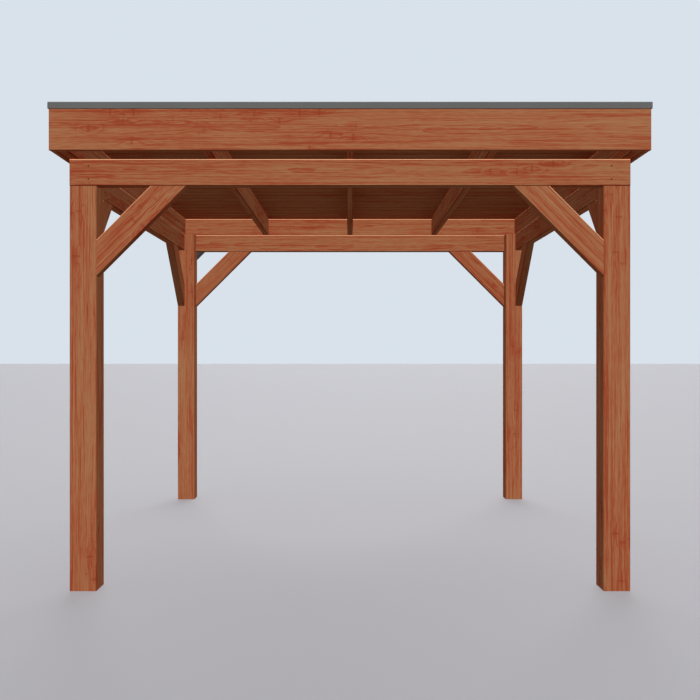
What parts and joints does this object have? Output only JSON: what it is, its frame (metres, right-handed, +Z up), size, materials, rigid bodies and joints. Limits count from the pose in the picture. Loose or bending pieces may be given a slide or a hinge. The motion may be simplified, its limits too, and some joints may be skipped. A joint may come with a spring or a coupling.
{
  "type": "patio cover",
  "caption": "Square timber patio cover on braced corner posts, with a flat boarded roof, deep fascias, a metal edge trim and a downpipe behind one back post.",
  "frame": {"origin": "on the ground, in the middle of the overall plan", "axes": "+Z up, -Y towards the side with the long overhang, +X to the right seen from there"},
  "size_m": [3.131, 3.3906, 2.591],
  "materials": {
    "stained_timber": "planed softwood with a reddish brown translucent stain",
    "deck_boards": "planed tongue and groove boards with the same stain",
    "edge_trim": "dark grey powder coat",
    "rubber_sheet": "smooth matt roofing rubber",
    "rainwater_pipe": "smooth grey moulded pipe"
  },
  "bodies": {
    "root": {"front_beam": "stained_timber", "front_fascia": "stained_timber", "front_left_post": "stained_timber", "front_left_brace": "stained_timber", "front_left_side_brace": "stained_timber", "front_right_post": "stained_timber", "front_right_brace": "stained_timber", "front_right_side_brace": "stained_timber", "back_beam": "stained_timber", "back_fascia": "stained_timber", "back_left_post": "stained_timber", "back_left_brace": "stained_timber", "back_left_side_brace": "stained_timber", "back_right_post": "stained_timber", "back_right_brace": "stained_timber", "back_right_side_brace": "stained_timber", "left_beam": "stained_timber", "left_edge_joist": "stained_timber", "left_joist": "stained_timber", "left_fascia": "stained_timber", "right_beam": "stained_timber", "right_edge_joist": "stained_timber", "right_joist": "stained_timber", "right_fascia": "stained_timber", "middle_joist": "stained_timber", "back_rim": "stained_timber", "roof_deck": "deck_boards", "roof_membrane": "rubber_sheet", "front_trim": "edge_trim", "back_trim": "edge_trim", "left_trim": "edge_trim", "right_trim": "edge_trim", "roof_outlet": "rainwater_pipe", "rain_hopper": "rainwater_pipe", "downpipe_offset": "rainwater_pipe", "downpipe": "rainwater_pipe", "upper_pipe_bracket": "rainwater_pipe", "lower_pipe_bracket": "rainwater_pipe"}
  },
  "joints": []
}
